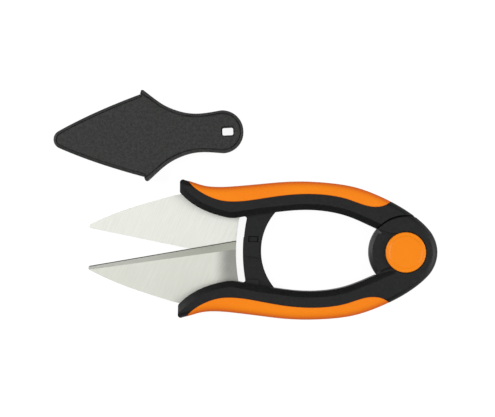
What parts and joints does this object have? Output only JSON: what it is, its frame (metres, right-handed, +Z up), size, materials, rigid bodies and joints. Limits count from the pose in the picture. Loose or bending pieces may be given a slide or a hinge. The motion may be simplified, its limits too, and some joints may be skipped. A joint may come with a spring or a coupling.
{
  "type": "thread snips",
  "caption": "Spring-opened thread snips: two soft-grip arms on a rear pivot form a finger loop behind short overlapping blades, with a loose slip-on blade cover.",
  "frame": {"origin": "pivot axis, on the plane the snips lie on: the centre of the lower cap's flat underside", "axes": "+X from the pivot to the heel, so the blades point along -X; +Y to the moving arm; +Z up along the pivot axis"},
  "size_m": [0.1825, 0.1075, 0.0125],
  "materials": {
    "arm_nylon": "fine-grained black glass-filled nylon",
    "soft_grip": "soft-touch orange elastomer",
    "blade_steel": "fine brushed stainless steel",
    "pivot_steel": "zinc-plated steel",
    "washer_nylon": "natural nylon",
    "spring_steel": "drawn spring wire",
    "cap_plastic": "satin orange plastic",
    "cover_plastic": "grained charcoal polypropylene"
  },
  "bodies": {
    "fixed_arm": {"fixed_core": "arm_nylon", "fixed_grip": "soft_grip", "fixed_blade": "blade_steel", "pivot_barrel": "pivot_steel", "pivot_screw": "pivot_steel", "lower_washer": "washer_nylon", "upper_washer": "washer_nylon", "thrust_ring": "washer_nylon", "opening_spring": "spring_steel", "upper_cap": "cap_plastic"},
    "moving_arm": {"moving_core": "arm_nylon", "moving_grip": "soft_grip", "moving_blade": "blade_steel", "lower_cap": "cap_plastic"},
    "cover": {"blade_cover": "cover_plastic"}
  },
  "joints": [
    {"name": "arm_pivot", "type": "hinge", "parent": "fixed_arm", "child": "moving_arm", "pos_m": [0, 0, 0.00625], "axis": [0, 0, 1], "range_deg": [0, 7.2], "stiffness_Nm_per_rad": 2, "springref_deg": -6.88, "deforming": ["opening_spring"]},
    {"name": "cover_pull", "type": "slide", "parent": "fixed_arm", "child": "cover", "axis": [-0.9979, -0.0654, 0], "range_m": [0, 0.05]}
  ]
}
